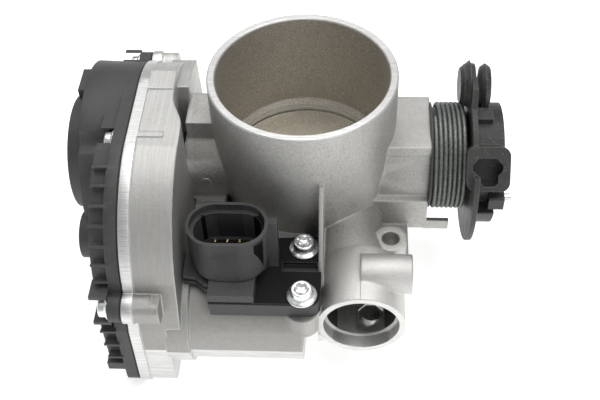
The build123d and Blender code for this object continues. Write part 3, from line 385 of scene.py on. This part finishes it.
def rubber(name):
    """Matt black rubber."""
    s = Surface(name)
    grain = s.noise(1.8, 3.0)
    tone = s.colour(s.span(grain, 0.3, 0.7), (0.012, 0.012, 0.013), (0.035, 0.035, 0.036))
    return s.set(Base_Color=tone, Roughness=s.span(grain, 0.2, 0.8, 0.55, 0.8), Normal=s.bump(grain, 0.04))


def track_board():
    """Sensor board with dark printed tracks in rings round the shaft."""
    s = Surface("board_plastic")
    radius = s.length(s.y, s.math("SUBTRACT", s.z, SHAFT_Z))
    tracks = s.span(s.math("SINE", s.math("MULTIPLY", radius, 1.9)), 0.2, 0.5)
    grain = s.noise(1.5, 3.0)
    tone = s.colour(tracks, (0.07, 0.13, 0.09), (0.02, 0.022, 0.024))
    tone = s.colour(s.span(grain, 0.5, 0.8, 0.0, 0.3), tone, (0.16, 0.22, 0.17))
    return s.set(Base_Color=tone, Roughness=s.span(tracks, 0.0, 1.0, 0.5, 0.3), Normal=s.bump(tracks, 0.03))


made = {
    "cast_aluminium": cast_aluminium(),
    "plate_metal": plate_metal(),
    "shaft_steel": metal("shaft_steel", (0.50, 0.50, 0.49), (0.64, 0.64, 0.63), rough=(0.2, 0.32),
                         grain_scale=1.0, stretch=(6, 0.4, 0.4)),
    "zinc_steel": metal("zinc_steel", (0.80, 0.81, 0.82), (0.93, 0.94, 0.95), rough=(0.20, 0.34),
                        grain_scale=0.9, edge_highlight_tone=(0.97, 0.97, 0.98)),
    "bearing_steel": metal("bearing_steel", (0.52, 0.52, 0.53), (0.68, 0.68, 0.69), rough=(0.15, 0.25)),
    "seal_rubber": rubber("seal_rubber"),
    "black_plastic": moulded("black_plastic", (0.042, 0.042, 0.044), (0.062, 0.062, 0.064)),
    "quadrant_plastic": moulded("quadrant_plastic", (0.022, 0.022, 0.0215), (0.045, 0.0445, 0.043),
                                grain_scale=1.4, depth=0.07, rough=(0.42, 0.58), worn_and_highlight=(0.30, 0.295, 0.28),
                                edge_highlight_share=0.55),
    "spring_steel": metal("spring_steel", (0.15, 0.165, 0.155), (0.27, 0.285, 0.27), rough=(0.50, 0.62),
                          grain_scale=1.1, depth=0.03),
    "gear_plastic": moulded("gear_plastic", (0.70, 0.67, 0.58), (0.82, 0.80, 0.72), grain_scale=1.6,
                            depth=0.02, rough=(0.35, 0.5), worn_and_highlight=(0.88, 0.87, 0.82), edge_highlight_share=0.3),
    "pinion_brass": metal("pinion_brass", (0.62, 0.44, 0.18), (0.80, 0.62, 0.32), rough=(0.2, 0.35)),
    "motor_steel": metal("motor_steel", (0.46, 0.46, 0.46), (0.60, 0.60, 0.59), rough=(0.25, 0.4),
                         grain_scale=0.8, stretch=(4, 0.3, 0.3)),
    "plug_steel": metal("plug_steel", (0.50, 0.50, 0.49), (0.70, 0.70, 0.69), rough=(0.25, 0.4)),
    "board_plastic": track_board(),
}
slot_of = {row["node"]: row["material_slot"] for row in frame["record"]["subparts"]}
own_finish = {"connector_housing": connector_plastic()}
for name, node in nodes.items():
    node.data.materials.clear()
    node.data.materials.append(own_finish.get(name, made[slot_of[name]]))


SAME_POINT = 0.000002
BEVEL_SEGMENTS = 2
SHARP_ANGLE = radians(32)


def soften(name, width):
    """Rounds a node's sharp edges by a width in mm, with modifiers that leave its own mesh alone."""
    node = nodes[name]
    weld = node.modifiers.new("weld", "WELD")
    weld.merge_threshold = SAME_POINT
    bevel = node.modifiers.new("bevel", "BEVEL")
    bevel.width, bevel.segments = width * MM, BEVEL_SEGMENTS
    bevel.limit_method, bevel.angle_limit = "ANGLE", SHARP_ANGLE
    bevel.use_clamp_overlap = True
    bevel.harden_normals = False
    bevel.miter_outer = "MITER_ARC"


for name, width in (("body_casting", 0.55), ("cable_quadrant", 0.6), ("connector_housing", 0.4),
                    ("actuator_cover", 0.5)):
    soften(name, width)

# ---------------------------------------------------------------- detail pieces
SMOOTH_ANGLE = radians(38)
LATHE_STEPS = 72


def link_mesh(name, mesh_builder, slot, body):
    """Turns a bmesh into a smooth-shaded piece that rides on a body."""
    mesh = bpy.data.meshes.new(name)
    mesh_builder.to_mesh(mesh)
    mesh_builder.free()
    piece = bpy.data.objects.new(name, mesh)
    bpy.context.scene.collection.objects.link(piece)
    mesh.materials.append(made[slot])
    mesh.shade_smooth()
    mesh.set_sharp_from_angle(angle=SMOOTH_ANGLE)
    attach(piece, body)
    return piece


def aim(origin, axis):
    """Matrix whose Z runs along axis from origin."""
    matrix = Vector(axis).to_track_quat("Z", "Y").to_matrix().to_4x4()
    matrix.translation = origin
    return matrix


def lathe(builder, rings, place):
    """Skins a stack of rings in mm, each (radius or function of the angle, height), and caps both ends."""
    loops = []
    for radius, height in rings:
        loop = []
        for i in range(LATHE_STEPS):
            turn = 2 * pi * i / LATHE_STEPS
            r = radius(turn) if callable(radius) else radius
            spot = Vector((r * cos(turn) * MM, r * sin(turn) * MM, height * MM))
            loop.append(builder.verts.new(place @ spot))
        loops.append(loop)
    for near, far in zip(loops, loops[1:]):
        for i in range(LATHE_STEPS):
            j = (i + 1) % LATHE_STEPS
            builder.faces.new((near[i], near[j], far[j], far[i]))
    for loop, flip in ((loops[0], True), (loops[-1], False)):
        builder.faces.new(list(reversed(loop)) if flip else loop)


def star(outer, depth_share):
    """Six-lobed outline that dips by a share of its outer radius."""
    lobes = 6
    return lambda turn: outer * (1 - depth_share * (0.5 - 0.5 * cos(lobes * turn)))


def flange_screw(builder, place, flange_r, flange_t, head_r, head_h, socket_r, socket_depth, stem_r,
                 stem_len):
    """Flanged screw with a rounded head and a six-lobed socket, from stem tip up to the socket floor."""
    floor = head_h - socket_depth
    rings = [(stem_r * 0.75, -stem_len), (stem_r, -stem_len + 0.5), (stem_r, 0.02), (flange_r - 0.25, 0.02),
             (flange_r, 0.25), (flange_r, flange_t - 0.35), (flange_r - 0.35, flange_t - 0.05),
             (head_r + 0.5, flange_t + 0.12), (head_r, flange_t + 0.5), (head_r, head_h - 0.45),
             (head_r - 0.15, head_h - 0.15), (head_r - 0.45, head_h), (socket_r + 0.45, head_h),
             (star(socket_r + 0.18, 0.16), head_h - 0.05), (star(socket_r, 0.24), head_h - 0.3),
             (star(socket_r, 0.24), floor), (star(socket_r * 0.5, 0.1), floor - 0.35), (0.05, floor - 0.45)]
    lathe(builder, rings, place)


def centres_along_x(name, reach):
    """Y and Z of the middle of each solid of a node, in mm: points within reach belong to one solid."""
    boxes = []
    for vertex in nodes[name].data.vertices:
        y, z = vertex.co.y / MM, vertex.co.z / MM
        for box in boxes:
            if abs((box[0] + box[2]) / 2 - y) < reach and abs((box[1] + box[3]) / 2 - z) < reach:
                box[:] = min(box[0], y), min(box[1], z), max(box[2], y), max(box[3], z)
                break
        else:
            boxes.append([y, z, y, z])
    return [((y_low + y_high) / 2, (z_low + z_high) / 2) for y_low, z_low, y_high, z_high in boxes]


def cover_screw_set():
    """Screws round the cover, each where its CAD solid is."""
    head_h = 3.6
    seat_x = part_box("cover_screws")[0].x / MM + head_h
    builder = bmesh.new()
    for y, z in centres_along_x("cover_screws", reach=11.0):
        flange_screw(builder, aim(Vector((seat_x, y, z)) * MM, (-1, 0, 0)), flange_r=4.5, flange_t=0.9,
                     head_r=3.6, head_h=head_h, socket_r=1.9, socket_depth=1.7, stem_r=1.9, stem_len=11.9)
    piece = link_mesh("cover_screw_set", builder, "zinc_steel", "housing")
    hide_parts("cover_screws")


def bracket_screws():
    """The two screws that hold the connector bracket."""
    low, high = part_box("connector_screws")
    centre_x = (low.x + high.x) / 2 / MM
    flange_r = 5.3
    builder = bmesh.new()
    for y in (low.y / MM + flange_r, high.y / MM - flange_r):
        seat = Vector((centre_x, y, BRACKET_TOP_Z)) * MM
        flange_screw(builder, aim(seat, (0, 0, 1)), flange_r=flange_r, flange_t=1.0, head_r=3.7,
                     head_h=BRACKET_HEAD_H, socket_r=2.45, socket_depth=1.9, stem_r=2.4, stem_len=13.6)
    piece = link_mesh("connector_screw_set", builder, "zinc_steel", "housing")
    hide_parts("connector_screws")


def strip(builder, path, outward, width, height):
    """Low ridge of kite section along a path of points in mm, standing out along outward."""
    flank_sink, root_sink, end_height = 0.05, 0.3, 0.02
    loops = []
    for i, point in enumerate(path):
        here = Vector(point)
        ahead = Vector(path[min(i + 1, len(path) - 1)]) - Vector(path[max(i - 1, 0)])
        normal = Vector(outward(here)).normalized()
        side = ahead.cross(normal).normalized()
        top = height if 0 < i < len(path) - 1 else end_height
        kite = (-side * width / 2 - normal * flank_sink, normal * top,
                side * width / 2 - normal * flank_sink, -normal * root_sink)
        loops.append([builder.verts.new((here + corner) * MM) for corner in kite])
    for near, far in zip(loops, loops[1:]):
        for i in range(len(near)):
            j = (i + 1) % len(near)
            builder.faces.new((near[i], near[j], far[j], far[i]))
    builder.faces.new(list(reversed(loops[0])))
    builder.faces.new(loops[-1])


def parting_lines():
    """Thin flash lines left by the die joint, along the top and bottom of the port tube."""
    steps = 12

    def from_port(point):
        return point.x - PORT_X, 0, point.z - PORT_Z

    builder = bmesh.new()
    for lean, first, last in ((92, -65.4, -46.5), (-92, -65.0, -46.0)):
        x = PORT_X + PORT_R * cos(radians(lean))
        z = PORT_Z + PORT_R * sin(radians(lean))
        ridge = [(x, first + (last - first) * i / steps, z) for i in range(steps + 1)]
        strip(builder, ridge, from_port, width=0.5, height=0.16)
    bmesh.ops.recalc_face_normals(builder, faces=builder.faces)
    link_mesh("port_parting_line", builder, "cast_aluminium", "housing")


def gate_mark():
    """Small dished gate mark with a raised ring, on the bearing boss."""
    boss_r, mark_x, turn = 17.0, -36.0, radians(176)
    out = Vector((0, cos(turn), sin(turn)))
    place = aim(Vector((mark_x, boss_r * out.y, SHAFT_Z + boss_r * out.z)) * MM, out)
    builder = bmesh.new()
    lathe(builder, [(1.9, -0.5), (1.9, 0.06), (1.55, 0.16), (1.15, 0.1), (0.8, -0.12), (0.3, -0.2)], place)
    link_mesh("gate_mark", builder, "cast_aluminium", "housing")


def port_floor_plug():
    """Eight-sided metal plug standing in the hole in the port floor, with a turned step on top."""
    plug_x, plug_y = 25.6, -53.0
    corner_r, half_side = 4.75, pi / 8

    def octagon(turn):
        return corner_r * cos(half_side) / cos((turn + half_side) % (2 * half_side) - half_side)

    builder = bmesh.new()
    lathe(builder, [(octagon, -5.2), (octagon, -2.6), (3.9, -2.2), (3.4, -1.4), (1.6, -1.2)],
          Matrix.Translation(Vector((plug_x, plug_y, 0)) * MM))
    link_mesh("port_floor_plug", builder, "plug_steel", "housing")


bracket_screws()
cover_screw_set()
parting_lines()
gate_mark()
port_floor_plug()


# ---------------------------------------------------------------- studio
FLOOR_HALF = 4.0
FLOOR_GAP = 0.0004
FLOOR_GLOW = 0.55
WORLD_STRENGTH = 0.42
LAMPS = (  # name, place in metres, width, height, watts
    ("key", (-0.20, 0.35, 0.95), 1.0, 0.8, 4.2),
    ("top", (0.30, 0.05, 1.05), 0.9, 0.8, 4.8),
    ("fill", (0.45, -0.85, 0.50), 0.8, 0.4, 1.3),
)


def floor_paint():
    """White that glows a little, so the floor stays plain and pale."""
    paint = bpy.data.materials.new("floor_white")
    paint.use_nodes = True
    shader = paint.node_tree.nodes["Principled BSDF"]
    shader.inputs["Base Color"].default_value = (0.93, 0.93, 0.93, 1)
    shader.inputs["Roughness"].default_value = 0.9
    shader.inputs["Emission Color"].default_value = (1, 1, 1, 1)
    shader.inputs["Emission Strength"].default_value = FLOOR_GLOW
    return paint


def studio():
    """Pale floor just under the part, an even white world and three soft lamps."""
    builder = bmesh.new()
    bmesh.ops.create_grid(builder, x_segments=2, y_segments=2, size=FLOOR_HALF)
    mesh = bpy.data.meshes.new("floor")
    builder.to_mesh(mesh)
    builder.free()
    mesh.materials.append(floor_paint())
    floor = bpy.data.objects.new("floor", mesh)
    floor.location.z = cad_lo.z - FLOOR_GAP
    bpy.context.scene.collection.objects.link(floor)

    world = bpy.data.worlds.new("studio")
    bpy.context.scene.world = world
    world.use_nodes = True
    background = world.node_tree.nodes["Background"]
    background.inputs["Color"].default_value = (1, 1, 1, 1)
    background.inputs["Strength"].default_value = WORLD_STRENGTH

    target = (cad_lo + cad_hi) / 2
    for name, place, wide, tall, watts in LAMPS:
        data = bpy.data.lights.new(name, "AREA")
        data.shape = "RECTANGLE"
        data.size, data.size_y, data.energy = wide, tall, watts
        lamp = bpy.data.objects.new(name, data)
        lamp.matrix_world = aim(Vector(place), Vector(place) - target)
        bpy.context.scene.collection.objects.link(lamp)
    bpy.context.scene.view_settings.view_transform = "Standard"


studio()
